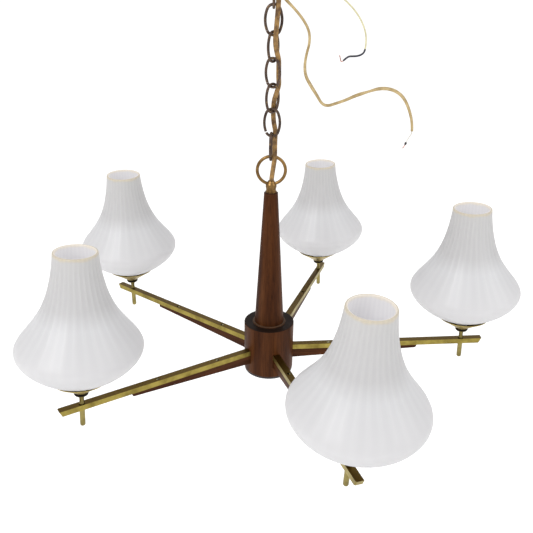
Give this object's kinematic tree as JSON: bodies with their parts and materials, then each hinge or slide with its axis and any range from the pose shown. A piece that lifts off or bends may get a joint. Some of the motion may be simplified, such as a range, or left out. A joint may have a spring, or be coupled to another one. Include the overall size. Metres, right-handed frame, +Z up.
{
  "type": "chandelier",
  "caption": "Chain-hung chandelier: a turned wooden hub and tapered column carry flat brass arms with wooden fins and upright ribbed glass bell shades.",
  "frame": {"origin": "on the ceiling hook's axis, where its collar meets the ceiling", "axes": "+Z up along the hook's threaded shank and the chain; one arm points close to +X, one pair of arms to the front, -Y"},
  "size_m": [0.6062, 0.6345, 0.5514],
  "materials": {
    "hook_steel": "dark brown enamel",
    "chain_steel": "dark purple-brown lacquer",
    "cast_brass": "polished cast brass",
    "spun_brass": "satin lacquered brass",
    "bar_brass": "lacquered brass, tarnished on top",
    "walnut": "oiled dark walnut",
    "dark_disc": "dark lacquer",
    "plain_steel": "zinc plated",
    "screw_brass": "dull brass",
    "black_rubber": "matt",
    "lampholder": "moulded, off-white",
    "ring_brass": "satin",
    "frosted_glass": "ribbed outside, frosted",
    "gold_flex": "clear gold-brown vinyl",
    "core_white": "insulation",
    "black_tape": "insulating tape",
    "copper": "bare copper strands",
    "pale_lead": "pale insulation",
    "dark_sleeve": "black-blue sleeve"
  },
  "bodies": {
    "ceiling": {"ceiling_hook": "hook_steel", "flex_tail": "gold_flex", "flex_core": "core_white", "tape_wrap": "black_tape", "flex_strands": "copper", "earth_lead": "pale_lead", "earth_sleeve": "dark_sleeve", "earth_strands": "copper"},
    "link_7": {"chain_link_7": "chain_steel"},
    "link_6": {"chain_link_6": "chain_steel"},
    "link_5": {"chain_link_5": "chain_steel"},
    "link_4": {"chain_link_4": "chain_steel"},
    "link_3": {"chain_link_3": "chain_steel"},
    "link_2": {"chain_link_2": "chain_steel"},
    "link_1": {"chain_link_1": "chain_steel"},
    "fixture": {"suspension_loop": "cast_brass", "loop_washer": "cast_brass", "column": "walnut", "hub": "walnut", "hub_cap": "dark_disc", "cap_screws": "screw_brass", "centre_rod": "plain_steel", "rod_nut": "plain_steel", "arm_plate": "plain_steel", "plate_screws": "screw_brass", "taped_splice": "black_tape", "lamp_stems": "spun_brass", "finials": "spun_brass", "cone_nuts": "spun_brass", "gaskets": "black_rubber", "shade_rings": "ring_brass", "fin_screws": "screw_brass", "lamp_leads": "pale_lead", "flex_in_chain": "gold_flex", "arm_bar_1": "bar_brass", "arm_fin_1": "walnut", "dish_1": "spun_brass", "socket_1": "lampholder", "shade_1": "frosted_glass", "arm_bar_2": "bar_brass", "arm_fin_2": "walnut", "dish_2": "spun_brass", "socket_2": "lampholder", "shade_2": "frosted_glass", "arm_bar_3": "bar_brass", "arm_fin_3": "walnut", "dish_3": "spun_brass", "socket_3": "lampholder", "shade_3": "frosted_glass", "arm_bar_4": "bar_brass", "arm_fin_4": "walnut", "dish_4": "spun_brass", "socket_4": "lampholder", "shade_4": "frosted_glass", "arm_bar_5": "bar_brass", "arm_fin_5": "walnut", "dish_5": "spun_brass", "socket_5": "lampholder", "shade_5": "frosted_glass"}
  },
  "joints": [
    {"name": "hook_rock", "type": "hinge", "parent": "ceiling", "child": "link_7", "pos_m": [0, 0, -0.042], "axis": [1, 0, 0], "range_deg": [-8, 8], "deforming": ["flex_in_chain"]},
    {"name": "link_6_rock", "type": "hinge", "parent": "link_7", "child": "link_6", "pos_m": [0, 0, -0.0692], "axis": [0, 1, 0], "range_deg": [-8, 8], "deforming": ["flex_in_chain"]},
    {"name": "link_5_rock", "type": "hinge", "parent": "link_6", "child": "link_5", "pos_m": [0, 0, -0.0973], "axis": [1, 0, 0], "range_deg": [-8, 8], "deforming": ["flex_in_chain"]},
    {"name": "link_4_rock", "type": "hinge", "parent": "link_5", "child": "link_4", "pos_m": [0, 0, -0.1254], "axis": [0.6018, 0.7986, 0], "range_deg": [-8, 8], "deforming": ["flex_in_chain"]},
    {"name": "link_3_rock", "type": "hinge", "parent": "link_4", "child": "link_3", "pos_m": [0, 0, -0.1535], "axis": [0.8572, -0.515, 0], "range_deg": [-8, 8], "deforming": ["flex_in_chain"]},
    {"name": "link_2_rock", "type": "hinge", "parent": "link_3", "child": "link_2", "pos_m": [0, 0, -0.1816], "axis": [0.7547, 0.6561, 0], "range_deg": [-8, 8], "deforming": ["flex_in_chain"]},
    {"name": "link_1_rock", "type": "hinge", "parent": "link_2", "child": "link_1", "pos_m": [0, 0, -0.2097], "axis": [0.9816, -0.1908, 0], "range_deg": [-8, 8], "deforming": ["flex_in_chain"]},
    {"name": "fixture_rock", "type": "hinge", "parent": "link_1", "child": "fixture", "pos_m": [-0.0008, 0, -0.2378], "axis": [0.1045, 0.9945, 0], "range_deg": [-8, 8], "deforming": ["flex_in_chain"]}
  ]
}
